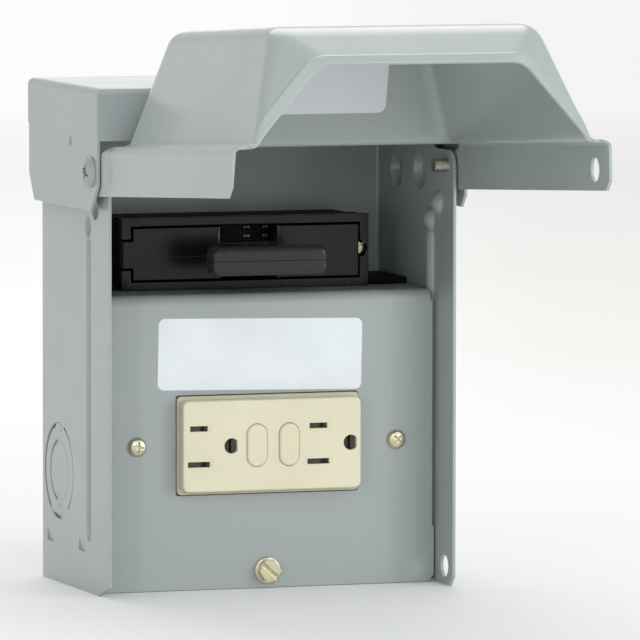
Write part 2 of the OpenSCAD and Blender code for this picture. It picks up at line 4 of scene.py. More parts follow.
import bmesh
import bpy
import numpy as np
from mathutils import Matrix, Vector
from mathutils.noise import noise as noise3

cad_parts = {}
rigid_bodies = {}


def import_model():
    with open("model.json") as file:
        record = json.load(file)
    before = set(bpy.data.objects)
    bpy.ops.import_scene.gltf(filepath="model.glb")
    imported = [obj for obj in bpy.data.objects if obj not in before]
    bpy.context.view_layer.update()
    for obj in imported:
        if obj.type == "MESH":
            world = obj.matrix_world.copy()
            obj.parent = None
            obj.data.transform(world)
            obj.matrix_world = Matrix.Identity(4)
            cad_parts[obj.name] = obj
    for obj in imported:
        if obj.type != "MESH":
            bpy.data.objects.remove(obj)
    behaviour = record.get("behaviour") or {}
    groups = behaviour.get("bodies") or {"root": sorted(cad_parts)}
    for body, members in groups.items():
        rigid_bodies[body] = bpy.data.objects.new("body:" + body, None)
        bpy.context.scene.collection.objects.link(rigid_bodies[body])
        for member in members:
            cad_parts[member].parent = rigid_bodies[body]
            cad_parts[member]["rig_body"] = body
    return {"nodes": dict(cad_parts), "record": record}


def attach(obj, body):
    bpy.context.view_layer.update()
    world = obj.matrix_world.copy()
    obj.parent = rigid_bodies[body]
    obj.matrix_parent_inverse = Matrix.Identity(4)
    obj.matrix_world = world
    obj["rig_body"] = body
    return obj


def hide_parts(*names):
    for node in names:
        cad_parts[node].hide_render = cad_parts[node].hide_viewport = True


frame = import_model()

NODES = frame["nodes"]
COLL = bpy.context.scene.collection
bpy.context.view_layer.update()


# ---------------------------------------------------------------- helpers

def P(x, y, z):
    """A point given in millimetres from the panels' front edge, centre and bottom, in the row frame in metres."""
    return Vector((x / 1000.0, (y - 82.7) / 1000.0, (z - 101.0) / 1000.0))


def body_of_node(node):
    return NODES[node]["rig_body"]


def clean(bm, angle=0.6):
    bmesh.ops.remove_doubles(bm, verts=bm.verts, dist=2e-6)
    bmesh.ops.dissolve_limit(
        bm,
        angle_limit=math.radians(angle),
        verts=bm.verts,
        edges=bm.edges,
        use_dissolve_boundaries=False,
    )


def bevel_edges(bm, width, segments=2, sharp=28.0, keep=None):
    edges = []
    for e in bm.edges:
        if len(e.link_faces) == 2 and e.calc_face_angle(0.0) > math.radians(sharp):
            if keep is None or keep(e):
                edges.append(e)
    if edges and width > 0:
        bmesh.ops.bevel(
            bm,
            geom=edges,
            offset=width,
            offset_type="OFFSET",
            segments=segments,
            profile=0.5,
            affect="EDGES",
            clamp_overlap=False,
            loop_slide=False,
            material=-1,
        )


def smooth(me, angle=32.0):
    for p in me.polygons:
        p.use_smooth = True
    bm = bmesh.new()
    bm.from_mesh(me)
    for e in bm.edges:
        if len(e.link_faces) == 2:
            e.smooth = e.calc_face_angle(0.0) < math.radians(angle)
    bm.to_mesh(me)
    bm.free()


def add_weighted(ob):
    m = ob.modifiers.new("wn", "WEIGHTED_NORMAL")
    m.keep_sharp = True
    m.weight = 60


def new_object(name, bm, material, body, angle=32.0):
    bmesh.ops.recalc_face_normals(bm, faces=bm.faces)
    me = bpy.data.meshes.new(name)
    bm.to_mesh(me)
    bm.free()
    smooth(me, angle)
    ob = bpy.data.objects.new(name, me)
    COLL.objects.link(ob)
    me.materials.append(material)
    add_weighted(ob)
    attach(ob, body)
    return ob


def refine(node, width, material, segments=2, sharp=28.0, keep=None, dissolve=0.6):
    """A finished copy of a CAD node: the same solid with its sheared or moulded edges rounded."""
    bm = bmesh.new()
    bm.from_mesh(NODES[node].data)
    clean(bm, dissolve)
    bevel_edges(bm, width / 1000.0, segments, sharp, keep)
    ob = new_object(node + "_finish", bm, material, body_of_node(node))
    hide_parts(node)
    return ob


# ---------------------------------------------------------------- materials

class Net:
    """A small wrapper for building node materials."""

    def __init__(self, name):
        self.m = bpy.data.materials.new(name)
        self.m.use_nodes = True
        self.t = self.m.node_tree
        self.t.nodes.clear()
        self.out = self.t.nodes.new("ShaderNodeOutputMaterial")
        self.b = self.t.nodes.new("ShaderNodeBsdfPrincipled")
        self.link(self.b.outputs[0], self.out.inputs[0])
        self.co = self.t.nodes.new("ShaderNodeTexCoord").outputs["Object"]

    def link(self, a, b):
        self.t.links.new(a, b)

    def node(self, kind, **kw):
        n = self.t.nodes.new(kind)
        for k, v in kw.items():
            setattr(n, k, v)
        return n

    def mapping(self, scale=(1, 1, 1), rot=(0, 0, 0)):
        n = self.node("ShaderNodeMapping")
        n.inputs["Scale"].default_value = scale
        n.inputs["Rotation"].default_value = rot
        self.link(self.co, n.inputs["Vector"])
        return n.outputs[0]

    def noise(self, scale, detail=2.0, rough=0.5, vec=None, dist=0.0):
        n = self.node("ShaderNodeTexNoise")
        n.inputs["Scale"].default_value = scale
        n.inputs["Detail"].default_value = detail
        n.inputs["Roughness"].default_value = rough
        n.inputs["Distortion"].default_value = dist
        self.link(vec if vec is not None else self.co, n.inputs["Vector"])
        return n.outputs[0]

    def voronoi(self, scale, vec=None, feature="F1"):
        n = self.node("ShaderNodeTexVoronoi", feature=feature)
        n.inputs["Scale"].default_value = scale
        self.link(vec if vec is not None else self.co, n.inputs["Vector"])
        return n.outputs[0]

    def ramp(self, fac, stops):
        n = self.node("ShaderNodeValToRGB")
        while len(n.color_ramp.elements) < len(stops):
            n.color_ramp.elements.new(0.5)
        for e, (pos, c) in zip(n.color_ramp.elements, stops):
            e.position = pos
            e.color = (c, c, c, 1) if isinstance(c, (int, float)) else (*c, 1)
        self.link(fac, n.inputs[0])
        return n.outputs[0]

    def rng(self, fac, a, b, c, d):
        n = self.node("ShaderNodeMapRange")
        for i, v in zip((1, 2, 3, 4), (a, b, c, d)):
            n.inputs[i].default_value = v
        self.link(fac, n.inputs[0])
        return n.outputs[0]

    def math(self, op, a, b=None, clamp=False):
        n = self.node("ShaderNodeMath", operation=op, use_clamp=clamp)
        for i, v in enumerate((a, b)):
            if v is None:
                continue
            if isinstance(v, (int, float)):
                n.inputs[i].default_value = v
            else:
                self.link(v, n.inputs[i])
        return n.outputs[0]

    def mix(self, fac, a, b, blend="MIX"):
        n = self.node("ShaderNodeMix", data_type="RGBA", blend_type=blend)
        for sock, v in ((n.inputs[0], fac), (n.inputs[6], a), (n.inputs[7], b)):
            if isinstance(v, (int, float)):
                sock.default_value = v if sock.type == "VALUE" else (v, v, v, 1)
            elif isinstance(v, tuple):
                sock.default_value = (*v, 1)
            else:
                self.link(v, sock)
        return n.outputs[2]

    def bump(self, height, strength, distance, normal=None):
        n = self.node("ShaderNodeBump")
        n.inputs["Strength"].default_value = strength
        n.inputs["Distance"].default_value = distance
        self.link(height, n.inputs["Height"])
        if normal is not None:
            self.link(normal, n.inputs["Normal"])
        return n.outputs[0]

    def edge(self, radius, lo=0.02, hi=0.3):
        """A mask that is 1 along sharp edges, from the difference of the rounded and the true normal."""
        bv = self.node("ShaderNodeBevel", samples=4)
        bv.inputs["Radius"].default_value = radius
        g = self.node("ShaderNodeNewGeometry")
        d = self.node("ShaderNodeVectorMath", operation="DOT_PRODUCT")
        self.link(bv.outputs[0], d.inputs[0])
        self.link(g.outputs["Normal"], d.inputs[1])
        return self.rng(self.math("SUBTRACT", 1.0, d.outputs["Value"]), lo, hi, 0, 1)

    def set(self, **kw):
        names = {
            "color": "Base Color", "rough": "Roughness", "metal": "Metallic",
            "normal": "Normal", "coat": "Coat Weight", "coat_rough": "Coat Roughness",
            "spec": "Specular IOR Level", "ior": "IOR", "sss": "Subsurface Weight",
            "sss_scale": "Subsurface Scale", "aniso": "Anisotropic",
        }
        for k, v in kw.items():
            s = self.b.inputs[names[k]]
            if isinstance(v, (int, float)):
                s.default_value = v
            elif isinstance(v, tuple):
                s.default_value = (*v, 1) if len(v) == 3 else v
            else:
                self.link(v, s)
        return self.m


def srgb(r, g, b):
    def f(c):
        c = c / 255.0
        return c / 12.92 if c <= 0.04045 else ((c + 0.055) / 1.055) ** 2.4
    return (f(r), f(g), f(b))


def paint(name, base, rough=0.42, dust=0.5):
    n = Net(name)
    big = n.noise(9, 3, 0.55)
    mid = n.noise(60, 3, 0.6)
    c0 = tuple(c * 0.965 for c in base)
    c1 = tuple(min(1, c * 1.03) for c in base)
    col = n.mix(n.rng(big, 0.3, 0.7, 0, 1), c0, c1)
    col = n.mix(n.math("MULTIPLY", n.rng(mid, 0.55, 0.75, 0, 1), 0.18), col, tuple(c * 0.93 for c in base))
    # a few fine scuffs, long and thin, in no one direction
    v1 = n.mapping((18, 900, 900), (0.4, 0.2, 0.3))
    sc = n.noise(1.0, 1, 0.4, v1)
    scuff = n.math("MULTIPLY", n.rng(sc, 0.73, 0.78, 0, 1), n.rng(big, 0.52, 0.66, 0, 1))
    col = n.mix(n.math("MULTIPLY", scuff, 0.35), col, tuple(min(1, c * 1.25) for c in base))
    # edges lightened: partly paint worn thin at the edges, partly a painted highlight along them
    e = n.edge(0.0007, 0.03, 0.4)
    col = n.mix(n.math("MULTIPLY", e, 0.42), col, tuple(min(1, c * 1.36 + 0.03) for c in base))
    rough_v = n.math("ADD", n.rng(mid, 0.3, 0.7, -0.03, 0.04), rough)
    rough_v = n.math("ADD", rough_v, n.math("MULTIPLY", scuff, 0.12))
    peel = n.noise(1500, 2, 0.5)
    fine = n.noise(5200, 2, 0.6)
    h = n.math("ADD", n.math("MULTIPLY", peel, 1.0), n.math("MULTIPLY", fine, 0.35))
    wave = n.noise(28, 1, 0.5)
    nb = n.bump(wave, 0.25, 0.0009)
    nb = n.bump(h, 0.22, 0.00006, nb)
    return n.set(color=col, rough=rough_v, normal=nb, spec=0.5, coat=0.3, coat_rough=0.14)


def plastic(name, base, rough=0.35, tint=None, grain=0.25, coat=0.0, sss=0.0):
    n = Net(name)
    big = n.noise(40, 3, 0.55)
    col = n.mix(n.rng(big, 0.3, 0.7, 0, 1), tuple(c * 0.95 for c in base), tuple(min(1, c * 1.04) for c in base))
    if tint:
        col = n.mix(n.math("MULTIPLY", n.edge(0.0006, 0.03, 0.4), 0.35), col, tint)
    fine = n.noise(3800, 3, 0.6)
    swirl = n.noise(160, 4, 0.6, dist=1.2)
    rv = n.math("ADD", n.rng(swirl, 0.3, 0.7, -0.05, 0.07), rough)
    nb = n.bump(fine, grain, 0.00005)
    return n.set(color=col, rough=rv, normal=nb, coat=coat, sss=sss, sss_scale=0.002)


def ivory(name):
    """Ivory moulded plastic; the stepped rim behind the face is mixed towards a darker, greener olive as painted shade.
    """
    n = Net(name)
    pos = n.node("ShaderNodeSeparateXYZ")
    n.link(n.co, pos.inputs[0])
    rim = n.rng(pos.outputs[1], -0.0694, -0.0664, 0, 1)
    big = n.noise(40, 3, 0.55)
    col = n.mix(n.rng(big, 0.3, 0.7, 0, 1), (0.715, 0.665, 0.490), (0.765, 0.712, 0.530))
    # painted shade: the rim, set back behind the face, is mixed towards a darker olive
    col = n.mix(n.math("MULTIPLY", rim, 0.75), col, (0.49, 0.485, 0.36))
    fine = n.noise(3800, 3, 0.6)
    rv = n.math("ADD", n.rng(n.noise(160, 4, 0.6, dist=1.2), 0.3, 0.7, -0.05, 0.07), 0.36)
    return n.set(color=col, rough=rv, normal=n.bump(fine, 0.12, 0.00005), sss=0.03, sss_scale=0.002)


def phenolic(name):
    """Black moulded resin: glossy, with fine drag marks and a handled grip; the pockets are rougher, with their
    reflection turned down as painted shade.
    """
    n = Net(name)
    pos = n.node("ShaderNodeSeparateXYZ")
    n.link(n.co, pos.inputs[0])
    y = pos.outputs[1]
    grip = n.rng(y, -0.0607, -0.0595, 1, 0)
    pocket_shade = n.rng(y, -0.0392, -0.0372, 0, 1)
    big = n.noise(45, 3, 0.6)
    drag = n.noise(1.0, 4, 0.65, n.mapping((1500, 700, 420)))
    base = n.mix(n.rng(big, 0.3, 0.7, 0, 1), (0.0040, 0.0048, 0.0038), (0.0060, 0.0068, 0.0060))
    worn = n.mix(n.rng(drag, 0.35, 0.7, 0, 1), (0.0245, 0.0285, 0.0262), (0.034, 0.038, 0.0365))
    col = n.mix(n.math("MULTIPLY", grip, 0.9), base, worn)
    col = n.mix(n.math("MULTIPLY", n.edge(0.0007, 0.03, 0.4), 0.30), col, (0.06, 0.065, 0.065))
    rv = n.math("ADD", n.rng(drag, 0.3, 0.7, -0.03, 0.05), 0.20)
    # painted shade: in the pockets the roughness is raised and the specular level lowered so they read darker
    rv = n.math("ADD", rv, n.math("MULTIPLY", pocket_shade, 0.35))
    nb = n.bump(drag, 0.14, 0.00003)
    nb = n.bump(n.noise(3800, 3, 0.6), 0.22, 0.00004, nb)
    sp = n.rng(pocket_shade, 0, 1, 0.30, 0.08)
    return n.set(color=col, rough=rv, normal=nb, spec=sp)


def metal(name, base, rough=0.3, second=None, aniso=0.0, scale=1.0):
    n = Net(name)
    a = n.noise(120 * scale, 4, 0.6)
    s = n.noise(900 * scale, 3, 0.6)
    col = n.mix(n.rng(a, 0.35, 0.65, 0, 1), base, second or tuple(c * 0.8 for c in base))
    rv = n.math("ADD", n.rng(s, 0.3, 0.7, -0.08, 0.12), rough)
    nb = n.bump(n.noise(2400 * scale, 3, 0.6), 0.25, 0.00005)
    return n.set(color=col, metal=1.0, rough=rv, normal=nb, aniso=aniso)


M = {
    "grey_paint": paint("paint_box", (0.352, 0.384, 0.384), rough=0.33),
    "lid_paint": paint("paint_lid", (0.375, 0.420, 0.408), rough=0.30),
    "painted_screw": paint("paint_screw", (0.33, 0.362, 0.356), rough=0.5),
    "label": plastic("label_film", (0.80, 0.83, 0.87), rough=0.33, grain=0.06),
    "yellow_zinc": metal("yellow_zinc", (0.72, 0.64, 0.42), 0.32, (0.62, 0.62, 0.50)),
    "zinc_steel": metal("zinc_steel", (0.60, 0.60, 0.58), 0.36),
    "ivory_plastic": ivory("ivory"),
    "shutter": plastic("shutter", (0.050, 0.047, 0.038), rough=0.16, grain=0.2),
    "thread_steel": metal("thread_steel", (0.66, 0.63, 0.57), 0.34, (0.52, 0.49, 0.43)),
    "black_plastic": plastic("black_moulded", (0.022, 0.022, 0.024), rough=0.5),
    "black_phenolic": phenolic("phenolic"),
    "circuit_board": plastic("board", (0.02, 0.10, 0.04), rough=0.4),
    "brass": metal("brass", (0.72, 0.52, 0.22), 0.3),
    "copper": metal("copper", (0.80, 0.42, 0.26), 0.35),
    "aluminium": metal("aluminium", (0.72, 0.73, 0.74), 0.4),
    "green_screw": metal("green_screw", (0.06, 0.30, 0.10), 0.4),
}

# ---------------------------------------------------------------- lid

TILT = math.radians(3.32)
RIM, TOP, SHEET = 8.7, 48.4, 1.2


def lid_points(x, l, n):
    """Lid coordinates in millimetres (across, along from the hinge, up from the hinge) to the row frame."""
    y = 7.0 - l * math.cos(TILT) + n * math.sin(TILT)
    z = 149.9 + l * math.sin(TILT) + n * math.cos(TILT)
    return np.stack([x / 1000.0, (y - 82.7) / 1000.0, (z - 101.0) / 1000.0], -1)


def tangent_plane(a, b, c, toward):
    """Unit normal u and height h with u.p + r = h for three spheres (x, l, n, r)."""
    A = np.array([a[:3] - c[:3], b[:3] - c[:3]])
    d = np.array([c[3] - a[3], c[3] - b[3]])
    u0 = np.linalg.pinv(A) @ d
    w = np.cross(A[0], A[1])
    w = w / np.linalg.norm(w)
    s = math.sqrt(max(0.0, 1 - u0 @ u0))
    best = max((u0 + s * w, u0 - s * w), key=lambda u: u @ np.array(toward))
    return best, best @ c[:3] + c[3]


def smax(a, b, k):
    h = np.clip(k - np.abs(a - b), 0, None) / k
    return np.maximum(a, b) + h * h * k * 0.25


def smin(a, b, k):
    h = np.clip(k - np.abs(a - b), 0, None) / k
    return np.minimum(a, b) - h * h * k * 0.25


S1 = np.array([53.834, 19.183, 5, 7.0])
S2 = np.array([42.186, 30.175, 41.4, 7.0])
S3 = np.array([42.186, 134.8, 41.4, 7.0])
S4 = np.array([58.034, 151.0, 5, 3.0])
S5 = np.array([49.6, 158.0, 5, 2.4])
S6 = np.array([29.0, 158.0, 28.2, 5.0])
MIR = np.array([-1, 1, 1, 1.0])
PL_SIDE = tangent_plane(S1, S2, S3, (1, 0, 0.3))
PL_REAR = tangent_plane(S1, S2, S2 * MIR, (0, -1, 0.3))
PL_END = tangent_plane(S3, S6, S6 * MIR, (0, 0.5, 1))


def plane_through(a, b, c, toward):
    a, b, c = (np.array(v, float) for v in (a, b, c))
    u = np.cross(b - a, c - a)
    u = u / np.linalg.norm(u)
    if u @ np.array(toward) < 0:
        u = -u
    return u, u @ a


PL_C1 = plane_through((46.9, 139.5, 47.6), (36.6, 154.5, 36.6), (61.0, 154.5, 8.7), (0.6, 0.5, 0.5))


def hump_field(x, l, n):
    ax = np.abs(x)

    def d(pl):
        u, h = pl
        return u[0] * ax + u[1] * l + u[2] * n - h

    top = n - TOP
    side = d(PL_SIDE)
    rear = d(PL_REAR)
    front = d(PL_END)
    c1 = d(PL_C1)
    t = np.clip((n - 6.0) / 36.0, 0, 1)
    wall = smax(side, rear, 5.6)
    end = smax(front, c1, 2.6)
    body = smax(wall, top, 5.0)
    k = 1.2 + 2.4 * t
    h = np.clip(k - np.abs(body - end), 0, None) / k
    body = np.maximum(body, end) + h * h * k * 0.25
    u = l - 152.6
    q = np.clip((l - 151.7) / 0.9, 0, 1)
    body = body + 0.29 * (u + np.sqrt(u * u + 0.06)) - 0.30 * q * q * (3 - 2 * q)
    return smin(body, n - RIM, 1.9)


def hump_height(x, l):
    lo = np.full(x.shape, RIM - 4.0)
    hi = np.full(x.shape, TOP + 1.0)
    for _ in range(26):
        mid = (lo + hi) / 2
        inside = hump_field(x, l, mid) < 0
        lo = np.where(inside, mid, lo)
        hi = np.where(inside, hi, mid)
    return (lo + hi) / 2


def spread(*runs):
    out = []
    for a, b, step in runs:
        m = max(1, int(round((b - a) / step)))
        out += [a + (b - a) * i / m for i in range(m)]
    out.append(runs[-1][1])
    return out


def flange_end(s, v):
    """Where the side flange stops at height v: s is 1 for the right one, -1 for the left one."""
    if s > 0:
        return 157.0 if v > -5.2 else 157.0 - 3.6 * (-5.2 - v) / 3.55
    return float(np.interp(v, (-8.75, -8.2, -5.4, 4.0, 6.1), (143.4, 144.6, 147.4, 150.2, 150.4)))


def lid_surface():
    left = lid_half(-1)[:0:-1] * np.array([-1, 1, 1])
    return np.concatenate([left, lid_half(1)])


def lid_half(s):
    RB = 2.6
    xs = spread((0, 26, 4.3), (26, 40, 1.0), (40, 56.7, 0.5))
    xs += [57.0] + spread((57.3, 63.7, 0.53))
    rows = [("p", x) for x in xs]
    rows += [("b", a) for a in spread((12, 90, 11))]
    rows += [("f", n) for n in spread((5.2, -5.2, 0.9), (-5.2, -8.75, 0.6))]
    ls = spread((-8, -7.2, 0.8), (-7.2, 8, 0.55), (8, 32, 0.5), (32, 122, 4.5), (122, 142, 0.6), (142, 151.0, 0.5), (151.0, 153.4, 0.2), (153.4, 157, 0.4))
    L = np.array(ls)
    side = []
    for kind, v in rows:
        if kind == "p":
            lr = -8.0 if v <= 57.0 else 8.6 + 7.1 * ((v - 57.3) / 6.4) ** 2
            t = min(1, max(0, (v - 59.8) / 2.6))
            lf = 154.5 - 2.3 * t * t * (3 - 2 * t)
            l = np.clip(L, lr, lf)
            x = np.full_like(l, v)
            n = hump_height(x, l)
        elif kind == "b":
            a = math.radians(v)
            lr = 7.5 + 8.2 * (1 - math.sin(a)) ** 1.2
            lf = 152.2 + (flange_end(s, 6.0) - 152.2) * math.sin(a) ** 1.5
            l = np.clip(L, lr, lf)
            x = np.full_like(l, 66.3 - RB + RB * math.sin(a))
            n = np.full_like(l, RIM - RB + RB * math.cos(a))
        else:
            if v > 5.6:
                lr = 7.4
            else:
                q = 7.25 ** 2 - (v + 1.5) ** 2
                lr = -math.sqrt(max(0.0, q))
                if v > 4.2:
                    lr = min(7.2, lr + 8.0 * (v - 4.2) / 1.4)
            lf = flange_end(s, v)
            l = np.clip(L, lr, lf)
            x = np.full_like(l, 66.3)
            n = np.full_like(l, v)
        if kind != "p":
            low = 1.0 if kind == "f" else max(0.0, (v - 40) / 50.0)
            t = np.clip((13.2 - l) / 4.2, 0, 1)
            x = x + (0.15 if s > 0 else 1.0) * low * t * t * (3 - 2 * t)
        side.append(np.stack([x, l, n], -1))
    return np.array(side)


def grid_mesh(g):
    """A quad sheet from an array of points, rows by columns, with repeated points merged."""
    bm = bmesh.new()
    r, c = g.shape[:2]
    vs = [[bm.verts.new(g[i, j]) for j in range(c)] for i in range(r)]
    for i in range(r - 1):
        for j in range(c - 1):
            bm.faces.new((vs[i][j], vs[i + 1][j], vs[i + 1][j + 1], vs[i][j + 1]))
    bmesh.ops.remove_doubles(bm, verts=bm.verts, dist=3e-6)
    bmesh.ops.dissolve_degenerate(bm, dist=2e-6, edges=bm.edges)
    return bm


def temp_object(name, bm):
    me = bpy.data.meshes.new(name)
    bm.to_mesh(me)
    bm.free()
    ob = bpy.data.objects.new(name, me)
    COLL.objects.link(ob)
    return ob


def baked(ob):
    """The object's mesh with its modifiers applied, as a new bmesh; the object is removed."""
    dg = bpy.context.evaluated_depsgraph_get()
    me = bpy.data.meshes.new_from_object(ob.evaluated_get(dg))
    bm = bmesh.new()
    bm.from_mesh(me)
    bpy.data.meshes.remove(me)
    old = ob.data
    bpy.data.objects.remove(ob)
    bpy.data.meshes.remove(old)
    return bm


def cylinder_bm(p0, p1, r, n=48):
    """A closed cylinder between two points in the row frame, radius in metres."""
    bm = bmesh.new()
    d = Vector(p1) - Vector(p0)
    m = Matrix.Translation((Vector(p0) + Vector(p1)) / 2) @ d.to_track_quat("Z", "Y").to_matrix().to_4x4()
    bmesh.ops.create_cone(bm, cap_ends=True, segments=n, radius1=r, radius2=r, depth=d.length, matrix=m)
    return bm


def cut(ob, cutter_bms):
    tools = []
    for i, cb in enumerate(cutter_bms):
        t = temp_object("cutter", cb)
        m = ob.modifiers.new("cut%d" % i, "BOOLEAN")
        m.operation = "DIFFERENCE"
        m.solver = "EXACT"
        m.object = t
        tools.append(t)
    bpy.context.view_layer.update()
    bm = baked(ob)
    for t in tools:
        me = t.data
        bpy.data.objects.remove(t)
        bpy.data.meshes.remove(me)
    return bm


def build_lid():
    g = lid_surface()
    pts = lid_points(g[..., 0], g[..., 1], g[..., 2])
    bm = grid_mesh(pts)
    bmesh.ops.recalc_face_normals(bm, faces=bm.faces)
    mid = min(bm.faces, key=lambda f: (f.calc_center_median() - Vector(lid_points(np.array(0.0), np.array(80.0), np.array(TOP)))).length)
    if mid.normal.z < 0:
        bmesh.ops.reverse_faces(bm, faces=bm.faces)
    ob = temp_object("lid_sheet", bm)
    m = ob.modifiers.new("sheet", "SOLIDIFY")
    m.thickness = SHEET / 1000.0
    m.offset = -1.0
    m.use_even_offset = True
    m.use_quality_normals = True
    bpy.context.view_layer.update()
    bm = baked(ob)
    ob = temp_object("lid_solid", bm)
    a = lid_points(np.array([60.0, 75.0]), np.array([143.1, 143.1]), np.array([-1.6, -1.6]))
    cutters = [cylinder_bm(a[0], a[1], 0.0041, 64)]
    for s in (-1, 1):
        b = lid_points(np.array([60.0, 75.0]) * s, np.array([0.0, 0.0]), np.array([0.0, 0.0]))
        cutters.append(cylinder_bm(b[0], b[1], 0.00245, 40))
    bm = cut(ob, cutters)
    bevel_edges(bm, 0.00022, 2, 62.0)
    ob = new_object("lid_finish", bm, M["lid_paint"], "lid", 40)
    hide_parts("lid")
    return ob


# ---------------------------------------------------------------- moulded and turned solids

def prism_bm(outline, axis, a, b):
    """A closed prism in millimetres: the outline lies across the axis, and runs from a to b along it."""
    bm = bmesh.new()

    def at(u, v, w):
        return {"x": P(w, u, v), "y": P(u, w, v), "z": P(u, v, w)}[axis]

    lo = [bm.verts.new(at(u, v, a)) for u, v in outline]
    hi = [bm.verts.new(at(u, v, b)) for u, v in outline]
    bm.faces.new(lo)
    bm.faces.new(hi[::-1])
    m = len(lo)
    for i in range(m):
        bm.faces.new((lo[i], hi[i], hi[(i + 1) % m], lo[(i + 1) % m]))
    bmesh.ops.recalc_face_normals(bm, faces=bm.faces)
    return bm


def arc2(cx, cy, r, a0, a1, n=8):
    return [(cx + r * math.cos(math.radians(a0 + (a1 - a0) * i / n)), cy + r * math.sin(math.radians(a0 + (a1 - a0) * i / n))) for i in range(n + 1)]


def rrect2(w, h, r, cx=0.0, cy=0.0, n=6):
    x, y = w / 2 - r, h / 2 - r
    return (arc2(cx + x, cy + y, r, 0, 90, n) + arc2(cx - x, cy + y, r, 90, 180, n)
            + arc2(cx - x, cy - y, r, 180, 270, n) + arc2(cx + x, cy - y, r, 270, 360, n))


def rect2(x0, x1, y0, y1):
    return [(x0, y0), (x1, y0), (x1, y1), (x0, y1)]


def combine(bm, steps):
    """Boolean steps on a closed mesh: each is (operation, closed mesh)."""
    ob = temp_object("solid", bm)
    tools = []
    for i, (op, tb) in enumerate(steps):
        t = temp_object("tool", tb)
        m = ob.modifiers.new("b%d" % i, "BOOLEAN")
        m.operation = op
        m.solver = "EXACT"
        m.object = t
        tools.append(t)
    bpy.context.view_layer.update()
    out = baked(ob)
    for t in tools:
        me = t.data
        bpy.data.objects.remove(t)
        bpy.data.meshes.remove(me)
    bmesh.ops.remove_doubles(out, verts=out.verts, dist=1e-6)
    bmesh.ops.dissolve_degenerate(out, dist=1e-6, edges=out.edges)
    return out


def lathe_bm(profile, n=64):
    """A closed turned solid about local +Z from (radius, height) points in millimetres; ends at radius 0."""
    bm = bmesh.new()
    rings = []
    for r, h in profile:
        if r < 1e-6:
            rings.append([bm.verts.new((0, 0, h / 1000.0))])
        else:
            rings.append([bm.verts.new((r / 1000.0 * math.cos(2 * math.pi * i / n), r / 1000.0 * math.sin(2 * math.pi * i / n), h / 1000.0)) for i in range(n)])
    for a, b in zip(rings, rings[1:]):
        for i in range(n):
            j = (i + 1) % n
            if len(a) == 1 and len(b) == 1:
                continue
            if len(a) == 1:
                bm.faces.new((a[0], b[j], b[i]))
            elif len(b) == 1:
                bm.faces.new((a[i], a[j], b[0]))
            else:
                bm.faces.new((a[i], a[j], b[j], b[i]))
    bmesh.ops.recalc_face_normals(bm, faces=bm.faces)
    return bm


def placed(bm, matrix):
    bmesh.ops.transform(bm, matrix=matrix, verts=bm.verts)
    bmesh.ops.recalc_face_normals(bm, faces=bm.faces)
    return bm


def box_local(x0, x1, y0, y1, z0, z1, matrix):
    bm = bmesh.new()
    bmesh.ops.create_cube(bm, size=1.0)
    for v in bm.verts:
        v.co = Vector(((x0 + x1) / 2 + v.co.x * (x1 - x0), (y0 + y1) / 2 + v.co.y * (y1 - y0), (z0 + z1) / 2 + v.co.z * (z1 - z0))) / 1000.0
    return placed(bm, matrix)


def zof(v):
    """Height above the bottom in millimetres of a vertex in the row frame."""
    return v.co.z * 1000.0 + 101.0


def yof(v):
    return v.co.y * 1000.0 + 82.7


def finish_piece(bm, node, angle=32.0, name=None):
    ob = new_object(name or node + "_finish", bm, M[SLOT[node]], body_of_node(node), angle)
    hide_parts(node)
    return ob


def pocket_outline():
    """Plan of the two pockets beside the neck, with rounded mouths."""
    return ([(13.8, 38.0), (13.8, 41.49)] + arc2(13.8, 44.5, 3.0, 270, 180, 8)[1:] + [(10.8, 50.3), (-8.4, 50.3)]
            + arc2(-10.8, 43.9, 2.4, 0, -90, 8)[:-1] + [(-10.8, 41.49), (-10.8, 38.0)])


def handle_solid():
    head = prism_bm([(-46.2, 112.8), (-42.4, 112.8), (-42.4, 108.5), (42.4, 108.5), (42.4, 127.2),
                     (-42.4, 127.2), (-42.4, 122.6), (-46.2, 122.6)], "y", 41.5, 48.4)
    bevel_edges(head, 0.0004, 3, 40)
    rear = prism_bm(rect2(-42.2, 42.2, 108.7, 127.0), "y", 47.6, 58.0)
    neck_plan = ([(-8.0, 19.0)] + arc2(-12.2, 37.2, 4.2, 0, 78, 7) + [(-13.0, 43.0), (13.0, 43.0)]
                 + arc2(12.2, 37.2, 4.2, 102, 180, 7) + [(8.0, 19.0)])
    neck = prism_bm(neck_plan, "z", 112.5, 120.9)
    bevel_edges(neck, 0.0009, 3, 60, lambda e: abs(e.verts[0].co.z - e.verts[1].co.z) < 1e-6 and e.calc_length() > 0.0003)
    grip = prism_bm(rrect2(43.2, 10.5, 3.0, 0.0, 116.65, 7), "y", 13.5, 22.5)
    bevel_edges(grip, 0.0021, 5, 60, lambda e: all(yof(v) < 13.6 for v in e.verts))
    bevel_edges(grip, 0.0014, 3, 60, lambda e: all(yof(v) > 22.4 for v in e.verts))
    steps = [("UNION", rear), ("DIFFERENCE", prism_bm(pocket_outline(), "z", 121.5, 130.0)),
             ("DIFFERENCE", prism_bm(pocket_outline(), "z", 100.0, 112.0)),
             ("UNION", neck), ("UNION", grip)]
    for s in (-1, 1):
        x = sorted((s * 12.0, s * 36.0))
        steps.append(("DIFFERENCE", prism_bm(rect2(x[0], x[1], 50.8, 60.0), "z", 110.4, 124.6)))
        steps.append(("DIFFERENCE", cylinder_bm(P(s * 37.8, 53, 100), P(s * 37.8, 53, 135), 0.0015, 32)))
    steps.append(("DIFFERENCE", prism_bm(rect2(39.5, 60.0, 44.9, 60.0), "z", 114.5, 122.1)))
    return combine(head, steps)


